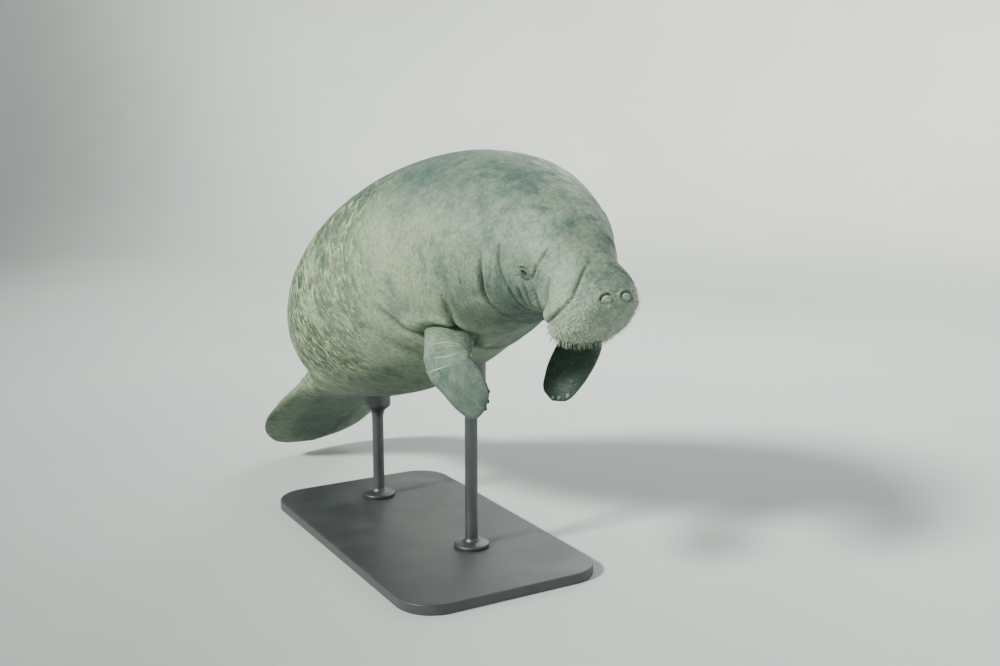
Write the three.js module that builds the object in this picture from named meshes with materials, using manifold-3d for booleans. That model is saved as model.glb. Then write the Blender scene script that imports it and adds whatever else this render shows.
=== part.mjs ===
// A manatee at life size, swimming slowly with its head bent down and its flippers hanging,
// held over a flat base by two short rods.
// Millimetres, +Z up, +X towards the head. The origin is the middle of the underside of the base.
import * as THREE from 'three';
import { mergeVertices } from 'three/addons/utils/BufferGeometryUtils.js';
import Module from 'manifold-3d';

const wasm = await Module();
wasm.setup();

// Driving dimensions of the body
const BODY_LENGTH = 2750;
const NOSE_TIP = [1085, 40, 945];
const GAP = 0.3;

// Station from the nose tip along the body, half width, height above the axis, depth below it
const SECTIONS = [
  [0, 0, 0, 0], [12, 72, 62, 64], [45, 110, 91, 108], [100, 120, 106, 129], [165, 116, 116, 127],
  [240, 148, 150, 146], [330, 188, 177, 179], [440, 235, 209, 224], [570, 290, 253, 276],
  [780, 354, 308, 330], [1050, 400, 354, 365], [1330, 400, 346, 354], [1600, 354, 300, 300],
  [1830, 270, 226, 214], [2020, 194, 160, 138], [2150, 156, 111, 93], [2270, 190, 71, 60],
  [2400, 248, 48, 40], [2530, 280, 34, 28], [2640, 250, 25, 21], [2715, 160, 17, 13],
  [BODY_LENGTH, 0, 0, 0],
];

// Station, then the pitch, yaw and roll in degrees of the body's forward direction there
const POSE = [
  [0, -42, 6, 0], [240, -26, -3, 10], [500, -2, 1, 16], [900, 22, 8, 12], [1350, 28, -2, 2],
  [1830, 33, -6, 1], [2150, 33, -6, 1], [2450, 42, -1, 3], [BODY_LENGTH, 56, 6, 3],
];

// Borders between the named lengths of the body. The first two follow folds of the skin:
// degrees round from the crown of the back, then the station of the fold there
const MUZZLE_CREASE = [[0, 150], [30, 108], [55, 80], [75, 74], [95, 88], [125, 122], [180, 150]];
const CHEEK_FOLD = [[0, 400], [90, 396], [117, 422], [140, 440], [160, 485], [180, 530]];
const NECK_END = 640;
const CHEST_END = 1180;
const BELLY_END = 1830;
const TAIL_STOCK_END = 2200;
const CREASE = { depth: 7, width: 11, fadesIn: [0, 28] };
const CHEEK = { depth: 11, width: 22, fadesIn: [55, 95] };

// The swollen lobes of the upper lip: the middle and half size of each, along the body and round it
const LOBE = { swell: 17, station: 92, along: 42, fromCrown: 132, round: 25 };

// Facets round the body and round a flipper
const AROUND = 52;
const FLIPPER_AROUND = 22;

// The mouth: a U seen from below, from one corner round the front to the other
const MOUTH = { front: 46, corner: 120, halfAngle: 57, power: 2.3, roof: 42, rear: 185, rearWidth: 84 };
const JAW = { setBack: 9, sideGap: 1.2, roofGap: 2, tuck: 32, tuckFrom: 70, tuckTo: 172 };

const NOSTRIL = { station: 35, offCentre: 15, ring: 15, tube: 4.6, valve: 13.5, swell: 4 };
const EYE = { station: 244, angle: 171, radius: 11, depth: 7.5 };
const LIDS = { ring: 12.5, tube: 6.5, sunk: 2.5, longer: 1.15, flatter: 0.8 };

// Flipper: distance from the shoulder, half chord, half thickness
const FLIPPER = [
  [-90, 66, 50], [0, 80, 44], [90, 75, 37], [180, 76, 30], [260, 78, 24], [330, 68, 17],
  [380, 45, 11], [400, 0, 0],
];
const FLIPPER_ROOT = -90;
const FLIPPER_TIP = 400;
// Where each flipper leaves the body, and how it hangs: sweep towards the head and spread to the
// side in degrees, with the twist of the blade, at the root and then past the bend
const FLIPPER_RIGHT = {
  station: 746, angle: 224.4, out: -1, size: 0.98,
  sweep: [34, 54], spread: [56, 26], twist: [-55, -7],
};
const FLIPPER_LEFT = {
  station: 685, angle: 308.7, out: 1, size: 1.02,
  sweep: [15, -15], spread: [7, -46], twist: [33, -30],
};
const BEND_START = 60;
const BEND_LENGTH = 160;
const NAIL = { length: 9, width: 6.5, thick: 2.8, reach: [362, 380, 388], across: [0.8, 0.5, 0.05] };

// The stand
const BASE = { length: 1300, width: 720, thick: 36, corner: 130, bevel: 5 };
const ROD = { radius: 22, foot: 62, footHeight: 14, cup: 52, cupHeight: 46, neck: 42 };
const RODS = { stand_rod_front: 250, stand_rod_rear: -420 };

const rad = THREE.MathUtils.degToRad;
const clamp = THREE.MathUtils.clamp;
const smoothstep = THREE.MathUtils.smoothstep;

const FINISH = {
  hide: { color: 0x8b9a8c, roughness: 0.62, metalness: 0 },
  eye: { color: 0x14110e, roughness: 0.12, metalness: 0 },
  nail: { color: 0xa79d88, roughness: 0.45, metalness: 0 },
  stand: { color: 0x2b2c2e, roughness: 0.5, metalness: 0.2 },
};

// A smooth curve through the rows of a table: the value of one column at x
function tableValue(rows, column, x) {
  const last = rows.length - 1;
  if (x <= rows[0][0]) return rows[0][column];
  if (x >= rows[last][0]) return rows[last][column];
  let i = 0;
  while (rows[i + 1][0] < x) i += 1;
  const slope = (k) => {
    const a = rows[Math.max(k - 1, 0)];
    const b = rows[Math.min(k + 1, last)];
    return (b[column] - a[column]) / (b[0] - a[0]);
  };
  const step = rows[i + 1][0] - rows[i][0];
  const t = (x - rows[i][0]) / step;
  const t2 = t * t;
  const t3 = t2 * t;
  return (2 * t3 - 3 * t2 + 1) * rows[i][column] + (t3 - 2 * t2 + t) * step * slope(i)
    + (3 * t2 - 2 * t3) * rows[i + 1][column] + (t3 - t2) * step * slope(i + 1);
}

// The forward, left and up directions of the body at a station
function bodyAxes(station) {
  const pitch = rad(tableValue(POSE, 1, station));
  const yaw = rad(tableValue(POSE, 2, station));
  const roll = rad(tableValue(POSE, 3, station));
  const cosPitch = Math.cos(pitch);
  const forward = new THREE.Vector3(cosPitch * Math.cos(yaw), cosPitch * Math.sin(yaw), Math.sin(pitch));
  const side = new THREE.Vector3(-Math.sin(yaw), Math.cos(yaw), 0);
  const left = side.clone().applyAxisAngle(forward, roll);
  const up = new THREE.Vector3().crossVectors(forward, left);
  return { forward, left, up };
}

// The axis of the body, summed from the nose backwards in short steps
const AXIS_STEP = 5;
const AXIS = [new THREE.Vector3(...NOSE_TIP)];
for (let station = AXIS_STEP; station <= BODY_LENGTH; station += AXIS_STEP) {
  const middle = bodyAxes(station - AXIS_STEP / 2).forward;
  AXIS.push(AXIS[AXIS.length - 1].clone().addScaledVector(middle, -AXIS_STEP));
}

function axisPoint(station) {
  const place = clamp(station / AXIS_STEP, 0, AXIS.length - 1);
  const i = Math.min(Math.floor(place), AXIS.length - 2);
  return AXIS[i].clone().lerp(AXIS[i + 1], place - i);
}

// Degrees round from the crown of the back, the same on both sides
function fromCrown(angle) {
  const turned = (((angle - 90) % 360) + 360) % 360;
  return Math.min(turned, 360 - turned);
}

const bump = (off, halfSize) => Math.exp(-((off / halfSize) ** 2));

// How far the hide dips into the two deep folds of the head
function foldDepth(station, angle) {
  const crown = fromCrown(angle);
  const crease = CREASE.depth * smoothstep(crown, ...CREASE.fadesIn)
    * bump(station - tableValue(MUZZLE_CREASE, 1, crown), CREASE.width);
  const cheek = CHEEK.depth * smoothstep(crown, ...CHEEK.fadesIn)
    * bump(station - tableValue(CHEEK_FOLD, 1, crown), CHEEK.width);
  return crease + cheek;
}

// How far the lobes of the upper lip stand out beside the mouth
const lobeSwell = (station, angle) => LOBE.swell * bump(station - LOBE.station, LOBE.along)
  * bump(fromCrown(angle) - LOBE.fromCrown, LOBE.round);

// Half width, height and depth of the body at a station
function section(station) {
  return {
    width: Math.max(tableValue(SECTIONS, 1, station), 0),
    above: Math.max(tableValue(SECTIONS, 2, station), 0),
    below: Math.max(tableValue(SECTIONS, 3, station), 0),
  };
}

// Squarer sections at the muzzle, plain ovals behind the eyes
function squareness(station) {
  if (station < 120) return 0.8 + 0.05 * station / 120;
  return Math.min(0.85 + 0.15 * (station - 120) / 180, 1);
}

// A point of the hide: the angle in degrees is 0 at the left, 90 at the back, 270 at the belly
function hidePoint(station, angle, grow = 0, tuck = 0) {
  const { left, up } = bodyAxes(station);
  const size = section(station);
  const power = squareness(station);
  const c = Math.cos(rad(angle));
  const s = Math.sin(rad(angle));
  const across = Math.sign(c) * Math.abs(c) ** power;
  const high = Math.sign(s) * Math.abs(s) ** power;
  const extent = s > 0 ? size.above : size.below - tuck;
  const flat = Math.min(size.width, extent);
  const dip = Math.min(foldDepth(station, angle), flat / 4);
  const spread = flat > 0 ? grow - dip + lobeSwell(station, angle) : 0;
  return axisPoint(station)
    .addScaledVector(left, (size.width + spread) * across)
    .addScaledVector(up, (extent + spread) * high);
}

// Bends a capped tube into shape: place(along, angle in degrees, middle) gives each point
function shapedTube(around, along, tips, place) {
  const tube = new THREE.CylinderGeometry(tips[0] ? 0 : 1, tips[1] ? 0 : 1, 1, around, along);
  const points = tube.getAttribute('position');
  for (let i = 0; i < points.count; i += 1) {
    const x = points.getX(i);
    const z = points.getZ(i);
    const t = 0.5 - points.getY(i);
    const turn = ((Math.round(Math.atan2(x, z) / (2 * Math.PI) * around) % around) + around) % around;
    const centre = Math.hypot(x, z) < 1e-9;
    const p = place(clamp(t, 0, 1), turn * 360 / around, centre);
    points.setXYZ(i, p.x, p.y, p.z);
  }
  return tube;
}

// A closed mesh as a solid, turned inside out first if its faces point inwards
function solid(geometry) {
  const bare = geometry.clone();
  bare.deleteAttribute('normal');
  bare.deleteAttribute('uv');
  const merged = mergeVertices(bare, 1e-3);
  const vertProperties = Float32Array.from(merged.getAttribute('position').array);
  const triVerts = Uint32Array.from(merged.index.array);
  let volume = 0;
  const corner = [new THREE.Vector3(), new THREE.Vector3(), new THREE.Vector3()];
  const middle = new THREE.Vector3().fromArray(vertProperties, 0);
  for (let i = 0; i < triVerts.length; i += 3) {
    for (let k = 0; k < 3; k += 1) {
      corner[k].fromArray(vertProperties, 3 * triVerts[i + k]).sub(middle);
    }
    volume += corner[0].dot(corner[1].cross(corner[2]));
  }
  if (volume < 0) {
    for (let i = 0; i < triVerts.length; i += 3) {
      [triVerts[i + 1], triVerts[i + 2]] = [triVerts[i + 2], triVerts[i + 1]];
    }
  }
  return new wasm.Manifold(new wasm.Mesh({ numProp: 3, vertProperties, triVerts }));
}

// The largest closed surface of a solid, as a geometry
function geometryOf(result) {
  const parts = result.decompose();
  parts.sort((a, b) => b.volume() - a.volume());
  const mesh = parts[0].getMesh();
  const geometry = new THREE.BufferGeometry();
  geometry.setAttribute('position', new THREE.BufferAttribute(Float32Array.from(mesh.vertProperties), 3));
  geometry.setIndex(new THREE.BufferAttribute(Uint32Array.from(mesh.triVerts), 1));
  geometry.computeVertexNormals();
  return geometry;
}

// A length of the body between two borders, each a table of folds or one plain station
const borderStation = (border, angle) => (
  Array.isArray(border) ? tableValue(border, 1, fromCrown(angle)) : border);
const borderMiddle = (border) => (Array.isArray(border) ? tableValue(border, 1, 90) : border);
const evenly = (t) => t;
const closerAtEnds = (t) => t * t * (3 - 2 * t);
const closerAtFront = (t) => t * (0.35 + 0.65 * t);
const closerAtRear = (t) => 1 - (1 - t) ** 1.4;

function bodyLength(front, rear, along, spacing = evenly, grow = 0, tuck = () => 0) {
  const atNose = front === 0;
  const atTail = rear === BODY_LENGTH;
  const trim = grow > 0 ? -GAP / 2 : GAP / 2;
  const from = atNose ? 0 : trim;
  const to = atTail ? 0 : trim;
  const place = (t, angle, centre) => {
    const start = (centre ? borderMiddle(front) : borderStation(front, angle)) + from;
    const end = (centre ? borderMiddle(rear) : borderStation(rear, angle)) - to;
    const station = start + (end - start) * spacing(t);
    if (centre) return axisPoint(station);
    return hidePoint(station, angle, grow, tuck(station));
  };
  return shapedTube(AROUND, along, [atNose, atTail], place);
}

// A place on the body's own axes: station, distance to the left, distance up
function insidePoint(station, across, high) {
  const { left, up } = bodyAxes(station);
  return axisPoint(station).addScaledVector(left, across).addScaledVector(up, high);
}

// The space under the roof of the mouth, U-shaped from below, wide enough for the lower jaw
function mouthBlock(setBack, narrower, roof, rear) {
  const outline = [];
  const steps = 12;
  for (let i = -steps; i <= steps; i += 1) {
    const off = MOUTH.halfAngle * i / steps;
    const share = Math.abs(i / steps);
    const station = MOUTH.front + (MOUTH.corner - MOUTH.front) * share ** MOUTH.power;
    const size = section(station);
    const across = size.width * Math.abs(Math.sin(rad(off))) ** squareness(station);
    const side = Math.max(across - narrower, 0);
    outline.push(new THREE.Vector2(station + setBack * (1 - share), Math.sign(i) * side));
  }
  const rearSide = MOUTH.rearWidth - narrower;
  outline.push(new THREE.Vector2(rear, rearSide), new THREE.Vector2(rear, -rearSide));
  const floorDepth = 230;
  const block = new THREE.ExtrudeGeometry(new THREE.Shape(outline), {
    depth: floorDepth - roof, steps: 1, bevelEnabled: false,
  });
  const points = block.getAttribute('position');
  for (let i = 0; i < points.count; i += 1) {
    const p = insidePoint(points.getX(i), points.getY(i), -roof - points.getZ(i));
    points.setXYZ(i, p.x, p.y, p.z);
  }
  return solid(block);
}

// How far the lower jaw is tucked up between the lobes of the upper lip
const jawTuck = (station) => JAW.tuck * (1 - smoothstep(station, JAW.tuckFrom, JAW.tuckTo));

// The outward direction of the hide at a place, from its two slopes
function hideNormal(station, angle) {
  const along = hidePoint(station + 4, angle).sub(hidePoint(station - 4, angle));
  const round = hidePoint(station, angle + 2).sub(hidePoint(station, angle - 2));
  return along.cross(round).normalize();
}

// A matrix that stands a shape on the hide: X towards the nose, Z straight out
function onHide(station, angle, height) {
  const out = hideNormal(station, angle);
  const { forward } = bodyAxes(station);
  const ahead = forward.clone().addScaledVector(out, -forward.dot(out)).normalize();
  const across = new THREE.Vector3().crossVectors(out, ahead);
  const matrix = new THREE.Matrix4().makeBasis(ahead, across, out);
  return matrix.setPosition(hidePoint(station, angle).addScaledVector(out, height));
}

const bothSides = (angle) => [angle, 180 - angle];

// A shut nostril: a swollen valve with a crescent cut over its top
function withNostrils(muzzle) {
  let result = muzzle;
  for (const angle of bothSides(90 + NOSTRIL.offCentre)) {
    const place = onHide(NOSTRIL.station, angle, 0);
    const valve = new THREE.SphereGeometry(NOSTRIL.valve, 14, 8);
    valve.scale(1, 1, 0.75);
    valve.translate(0, 0, NOSTRIL.swell - NOSTRIL.valve / 2);
    valve.applyMatrix4(place);
    const crescent = new THREE.TorusGeometry(NOSTRIL.ring, NOSTRIL.tube, 8, 24);
    crescent.translate(0, 0, 1);
    const lift = crescent.getAttribute('position');
    for (let i = 0; i < lift.count; i += 1) {
      const ahead = Math.max(lift.getX(i), 0);
      lift.setZ(i, lift.getZ(i) + ahead);
    }
    crescent.applyMatrix4(place);
    result = result.add(solid(valve)).subtract(solid(crescent));
  }
  return result;
}

// The eyeball, a little sunk, and the thick ring of its lids
const eyeAngles = { eye_right: EYE.angle, eye_left: 180 - EYE.angle };

function eyeball(angle, grow) {
  const ball = new THREE.SphereGeometry(EYE.radius + grow, 14, 8);
  ball.translate(0, 0, -EYE.depth);
  ball.applyMatrix4(onHide(EYE.station, angle, 0));
  return ball;
}

function withLids(head) {
  let result = head;
  for (const angle of Object.values(eyeAngles)) {
    const lids = new THREE.TorusGeometry(LIDS.ring, LIDS.tube, 10, 22);
    lids.scale(LIDS.longer, 1, LIDS.flatter);
    lids.applyMatrix4(onHide(EYE.station, angle, -LIDS.sunk));
    result = result.add(solid(lids)).subtract(solid(eyeball(angle, GAP)));
  }
  return result;
}

// A flipper's directions: down from the shoulder, swept and spread, with its chord twisted
function flipperDirections(side, share) {
  const { forward, left, up } = bodyAxes(side.station);
  const mix = (pair) => rad(pair[0] + (pair[1] - pair[0]) * share);
  const sweep = mix(side.sweep);
  const spread = mix(side.spread);
  const twist = mix(side.twist);
  const down = forward.clone().multiplyScalar(Math.sin(sweep))
    .addScaledVector(up, -Math.cos(spread) * Math.cos(sweep))
    .addScaledVector(left, side.out * Math.sin(spread) * Math.cos(sweep));
  const straight = forward.clone().addScaledVector(down, -forward.dot(down)).normalize();
  const chord = straight.applyAxisAngle(down, twist);
  const thick = new THREE.Vector3().crossVectors(down, chord);
  return { down, chord, thick };
}

const bendShare = (distance) => smoothstep(distance, BEND_START, BEND_START + BEND_LENGTH);

// The middle line of a flipper, summed in short steps from inside the shoulder
function flipperLine(side) {
  const start = flipperDirections(side, 0).down;
  const line = [hidePoint(side.station, side.angle).addScaledVector(start, FLIPPER_ROOT * side.size)];
  const step = 10;
  for (let distance = FLIPPER_ROOT; distance < FLIPPER_TIP; distance += step) {
    const { down } = flipperDirections(side, bendShare(distance + step / 2));
    line.push(line[line.length - 1].clone().addScaledVector(down, step * side.size));
  }
  return (distance) => {
    const place = clamp((distance - FLIPPER_ROOT) / step, 0, line.length - 1);
    const i = Math.min(Math.floor(place), line.length - 2);
    return line[i].clone().lerp(line[i + 1], place - i);
  };
}

// A point of a flipper: across is -1 to 1 over the chord, high is -1 to 1 through it
function flipperPoint(side, line, distance, across, high) {
  const { chord, thick } = flipperDirections(side, bendShare(distance));
  const halfChord = Math.max(tableValue(FLIPPER, 1, distance), 0) * side.size;
  const halfThick = Math.max(tableValue(FLIPPER, 2, distance), 0) * side.size;
  return line(distance)
    .addScaledVector(chord, halfChord * across)
    .addScaledVector(thick, halfThick * high);
}

function flipperSolid(side) {
  const line = flipperLine(side);
  const closerAtTip = (t) => 1 - (1 - t) ** 1.35;
  const shape = shapedTube(FLIPPER_AROUND, 14, [false, true], (t, angle, centre) => {
    const distance = FLIPPER_ROOT + (FLIPPER_TIP - FLIPPER_ROOT) * closerAtTip(t);
    if (centre) return line(distance);
    return flipperPoint(side, line, distance, Math.cos(rad(angle)), Math.sin(rad(angle)));
  });
  return solid(shape);
}

// A nail: a small flat dome that lies on the outer face of the blade near its tip
function nailGeometry(side, number, grow) {
  const line = flipperLine(side);
  const distance = NAIL.reach[number];
  const across = NAIL.across[number];
  const high = Math.sqrt(1 - across * across) * side.out;
  const place = flipperPoint(side, line, distance, across, high);
  const { down, chord, thick } = flipperDirections(side, bendShare(distance));
  const halfChord = tableValue(FLIPPER, 1, distance);
  const halfThick = tableValue(FLIPPER, 2, distance);
  const out = chord.clone().multiplyScalar(across / halfChord)
    .addScaledVector(thick, high / halfThick).normalize();
  const along = down.clone().addScaledVector(out, -down.dot(out)).normalize();
  const wide = new THREE.Vector3().crossVectors(out, along);
  const nail = new THREE.SphereGeometry(1, 10, 6);
  nail.scale(NAIL.length + grow, NAIL.width + grow, NAIL.thick + grow);
  nail.applyMatrix4(new THREE.Matrix4().makeBasis(along, wide, out).setPosition(place));
  return nail;
}

// One rod with a round foot and a cup that fits the belly
function rodGeometry(x, bodyForCut) {
  const belly = bellyPoint(x);
  const baseTop = BASE.thick + GAP;
  const cupFrom = belly.z - ROD.cupHeight - ROD.neck;
  const inside = belly.z + 90;
  const profile = [
    [0, baseTop], [ROD.foot, baseTop], [ROD.foot, baseTop + ROD.footHeight - 3],
    [ROD.foot - 4, baseTop + ROD.footHeight], [ROD.radius + 8, baseTop + ROD.footHeight + 4],
    [ROD.radius, baseTop + ROD.footHeight + 14], [ROD.radius, cupFrom],
    [ROD.radius + 6, cupFrom + ROD.neck * 0.55], [ROD.cup, cupFrom + ROD.neck], [ROD.cup, inside],
    [0, inside],
  ].map(([r, z]) => new THREE.Vector2(r, z));
  const rod = new THREE.LatheGeometry(profile, 22);
  rod.rotateX(Math.PI / 2);
  rod.translate(x, belly.y, 0);
  return geometryOf(solid(rod).subtract(bodyForCut));
}

// The lowest point of the belly at a place along X
function bellyPoint(x) {
  let low = CHEST_END / 2;
  let high = TAIL_STOCK_END;
  const halvings = 30;
  for (let i = 0; i < halvings; i += 1) {
    const middle = (low + high) / 2;
    if (hidePoint(middle, 270).x > x) low = middle;
    else high = middle;
  }
  return hidePoint(low, 270);
}

function baseGeometry() {
  const { length, width, thick, corner, bevel } = BASE;
  const x = length / 2 - corner;
  const y = width / 2 - corner;
  const round = corner - bevel;
  const plan = new THREE.Shape();
  plan.absarc(x, y, round, 0, Math.PI / 2);
  plan.absarc(-x, y, round, Math.PI / 2, Math.PI);
  plan.absarc(-x, -y, round, Math.PI, Math.PI * 1.5);
  plan.absarc(x, -y, round, Math.PI * 1.5, Math.PI * 2);
  const plate = new THREE.ExtrudeGeometry(plan, {
    depth: thick - 2 * bevel, steps: 1, curveSegments: 7,
    bevelEnabled: true, bevelThickness: bevel, bevelSize: bevel, bevelSegments: 1,
  });
  plate.translate(0, 0, bevel);
  return geometryOf(solid(plate));
}

const manatee = new THREE.Group();

function addNode(name, geometry, finish) {
  const mesh = new THREE.Mesh(geometry, new THREE.MeshStandardMaterial(FINISH[finish]));
  mesh.name = name;
  manatee.add(mesh);
}

// Head: muzzle, lower jaw and skull, cut along the mouth
const mouthCut = mouthBlock(0, 0, MOUTH.roof, MOUTH.rear);
const jawBlock = mouthBlock(JAW.setBack, JAW.sideGap, MOUTH.roof + JAW.roofGap, MOUTH.rear - JAW.sideGap);
const muzzleWhole = solid(bodyLength(0, MUZZLE_CREASE, 13, closerAtFront));
const skullWhole = solid(bodyLength(MUZZLE_CREASE, CHEEK_FOLD, 13, closerAtEnds));
const jawWhole = solid(bodyLength(0, NECK_END, 26, closerAtFront, 0, jawTuck));
addNode('muzzle', geometryOf(withNostrils(muzzleWhole.subtract(mouthCut))), 'hide');
addNode('head', geometryOf(withLids(skullWhole.subtract(mouthCut))), 'hide');
addNode('lower_jaw', geometryOf(jawWhole.intersect(jawBlock)), 'hide');
for (const [name, angle] of Object.entries(eyeAngles)) {
  addNode(name, geometryOf(solid(eyeball(angle, 0))), 'eye');
}

// Trunk and tail, in lengths that meet at thin gaps
const neck = (grow) => solid(bodyLength(CHEEK_FOLD, NECK_END, 6, closerAtFront, grow));
const chest = (grow) => solid(bodyLength(NECK_END, CHEST_END, 7, evenly, grow));
const belly = (grow) => solid(bodyLength(CHEST_END, BELLY_END, 8, evenly, grow));
const tailStock = (grow) => solid(bodyLength(BELLY_END, TAIL_STOCK_END, 6, evenly, grow));
const tailPaddle = solid(bodyLength(TAIL_STOCK_END, BODY_LENGTH, 12, closerAtRear));
addNode('neck', geometryOf(neck(0)), 'hide');
addNode('chest', geometryOf(chest(0)), 'hide');
addNode('belly', geometryOf(belly(0)), 'hide');
addNode('tail_stock', geometryOf(tailStock(0)), 'hide');
addNode('tail_paddle', geometryOf(tailPaddle), 'hide');

// Flippers, cut to the flank, with their nails
const flankCut = neck(GAP).add(chest(GAP));
for (const [name, side] of Object.entries({ right: FLIPPER_RIGHT, left: FLIPPER_LEFT })) {
  let blade = flipperSolid(side).subtract(flankCut);
  for (let i = 0; i < NAIL.reach.length; i += 1) {
    blade = blade.subtract(solid(nailGeometry(side, i, GAP)));
    addNode(`nail_${name}_${i + 1}`, geometryOf(solid(nailGeometry(side, i, 0))), 'nail');
  }
  addNode(`flipper_${name}`, geometryOf(blade), 'hide');
}

// Stand
const bellyCut = chest(GAP).add(belly(GAP)).add(tailStock(GAP));
addNode('stand_base', baseGeometry(), 'stand');
for (const [name, x] of Object.entries(RODS)) {
  addNode(name, rodGeometry(x, bellyCut), 'stand');
}

export default manatee;
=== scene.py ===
"""A life-size manatee, swimming with its head bent down, over a plain display stand.

The hide is one closed skin over all the flesh: the body is shaped from named sections along a
bent axis, the flippers are joined to it, and folds, lids, lips and nostrils are worked into it.
Body shapes are in millimetres along the animal, and every Blender object is in metres.
"""
import math
from contextlib import contextmanager

import bmesh
import bpy
import numpy as np
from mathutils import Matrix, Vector, kdtree


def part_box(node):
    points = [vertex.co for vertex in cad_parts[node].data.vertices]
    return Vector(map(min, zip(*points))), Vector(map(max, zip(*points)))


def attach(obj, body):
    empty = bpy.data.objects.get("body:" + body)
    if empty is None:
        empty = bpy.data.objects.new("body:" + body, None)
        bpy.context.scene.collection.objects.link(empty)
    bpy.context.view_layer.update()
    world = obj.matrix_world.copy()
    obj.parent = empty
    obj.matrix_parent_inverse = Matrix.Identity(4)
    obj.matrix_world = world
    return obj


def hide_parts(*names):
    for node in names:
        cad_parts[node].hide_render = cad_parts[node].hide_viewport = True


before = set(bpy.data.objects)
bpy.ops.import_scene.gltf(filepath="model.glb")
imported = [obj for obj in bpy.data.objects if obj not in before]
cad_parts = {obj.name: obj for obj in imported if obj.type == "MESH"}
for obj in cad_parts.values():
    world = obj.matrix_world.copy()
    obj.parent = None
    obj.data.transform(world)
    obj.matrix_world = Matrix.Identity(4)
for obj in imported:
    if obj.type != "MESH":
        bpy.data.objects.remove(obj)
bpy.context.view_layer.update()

MM = 0.001
rng = np.random.default_rng(7)

# Body, the same sizes as the solids: station, half width, height above the axis, depth below
BODY_LENGTH = 2750.0
NOSE_TIP = np.array([1085.0, 40.0, 945.0])
SECTIONS = np.array([
    [0, 0, 0, 0], [12, 72, 62, 64], [45, 110, 91, 108], [100, 120, 106, 129],
    [165, 116, 116, 127], [240, 148, 150, 146], [330, 188, 177, 179], [440, 235, 209, 224],
    [570, 290, 253, 276], [780, 354, 308, 330], [1050, 400, 354, 365], [1330, 400, 346, 354],
    [1600, 354, 300, 300], [1830, 270, 226, 214], [2020, 194, 160, 138], [2150, 156, 111, 93],
    [2270, 190, 71, 60], [2400, 248, 48, 40], [2530, 280, 34, 28], [2640, 250, 25, 21],
    [2715, 160, 17, 13], [2750, 0, 0, 0]], float)
# Station, then pitch, yaw and roll in degrees of the forward direction
POSE = np.array([
    [0, -42, 6, 0], [240, -26, -3, 10], [500, -2, 1, 16], [900, 22, 8, 12], [1350, 28, -2, 2],
    [1830, 33, -6, 1], [2150, 33, -6, 1], [2450, 42, -1, 3], [2750, 56, 6, 3]], float)
# Folds round the head: degrees from the crown, station
MUZZLE_CREASE = np.array([
    [0, 150], [30, 108], [55, 80], [75, 74], [95, 88], [125, 122], [180, 150]], float)
CHEEK_FOLD = np.array([[0, 400], [90, 396], [117, 422], [140, 440], [160, 485], [180, 530]], float)
LOBE = {"swell": 17, "station": 92, "along": 42, "crown": 132, "round": 25}
MOUTH = {"front": 46, "corner": 120, "half_angle": 57, "power": 2.3}
JAW = {"tuck": 32, "along": (70, 172), "side": (30, 58), "lip": (-2.5, 3.5)}
# Stations, and the power there that squares the shoulders of a section
SQUARENESS = ((0, 120, 300), (0.80, 0.85, 1.0))
# How deep the hide may sink and how high it may stand, as shares of the thinnest half size
DEEPEST, HIGHEST = 0.3, 0.5
NOSTRIL = {"station": 35, "off_centre": 15, "ring": 15}
EYE = {"station": 244, "angle": 171, "radius": 11, "depth": 8.8, "dip": 5, "dip_size": 28}
EYE_ANGLES = (EYE["angle"], 180 - EYE["angle"])
NOSTRIL_ANGLES = (90 - NOSTRIL["off_centre"], 90 + NOSTRIL["off_centre"])

# Flippers: distance from the shoulder, half chord, half thickness
FLIPPER = np.array([
    [-90, 66, 50], [0, 80, 44], [90, 75, 37], [180, 76, 30], [260, 78, 24], [330, 68, 17],
    [380, 45, 11], [400, 0, 0]], float)
FLIPPER_ROOT = -90.0
FLIPPER_TIP = 400.0
BEND_START = 60.0
BEND_LENGTH = 160.0
SIDES = {
    "right": {"station": 746, "angle": 224.4, "out": -1, "size": 0.98,
              "sweep": (34, 54), "spread": (56, 26), "twist": (-55, -7)},
    "left": {"station": 685, "angle": 308.7, "out": 1, "size": 1.02,
             "sweep": (15, -15), "spread": (7, -46), "twist": (33, -30)},
}
NAIL = {"length": 9, "width": 6.5, "thick": 2.8, "reach": (362, 380, 388), "across": (0.8, 0.5, 0.05)}

# Skin mesh: rows along the body in bands of even steps, and columns round it
ROW_BANDS = ((1.5, 9, 1.5), (9, 60, 2.2), (60, 470, 3.0), (470, 900, 8), (900, 2200, 16),
             (2200, 2700, 12.5), (2700, 2740, 6), (2740, 2749.5, 2.2))
COLUMNS = 180
FLIPPER_ROWS = 88
FLIPPER_COLUMNS = 80
# Each pass halves the mesh so near an eye and a nostril, in mm, and so near a flipper's root, in
# shares of the flipper's own half sizes
FINER = ((46, 34, 2.1), (27, 24, 1.45))
# Reach down a flipper that marks a point of the body, and degrees over which a fold fades out
ON_BODY = -1.0
FOLD_END = 9.0

FLESH = ("muzzle", "lower_jaw", "head", "neck", "chest", "belly", "tail_stock", "tail_paddle",
         "flipper_right", "flipper_left")


def ramp(x, low, high):
    """A smooth rise from 0 at low to 1 at high."""
    t = np.clip((np.asarray(x, float) - low) / (high - low), 0, 1)
    return t * t * (3 - 2 * t)


def fall(x, low, high):
    return 1 - ramp(x, low, high)


def span(x, rise, full, drop, gone):
    """1 from full to drop, and 0 outside rise and gone."""
    return ramp(x, rise, full) * fall(x, drop, gone)


def bump(off, half_size):
    return np.exp(-(np.asarray(off) / half_size) ** 2)


def unit(v):
    return v / np.linalg.norm(v, axis=-1, keepdims=True)


def distance_from(points, place):
    return np.linalg.norm(points - place, axis=1)


def turns(count):
    """Even steps round a full turn, in radians."""
    return np.arange(count) * 2 * math.pi / count


def grid(first, second):
    """Two flat arrays that pair every value of the first with every value of the second."""
    return (g.ravel() for g in np.meshgrid(first, second, indexing="ij"))


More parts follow.
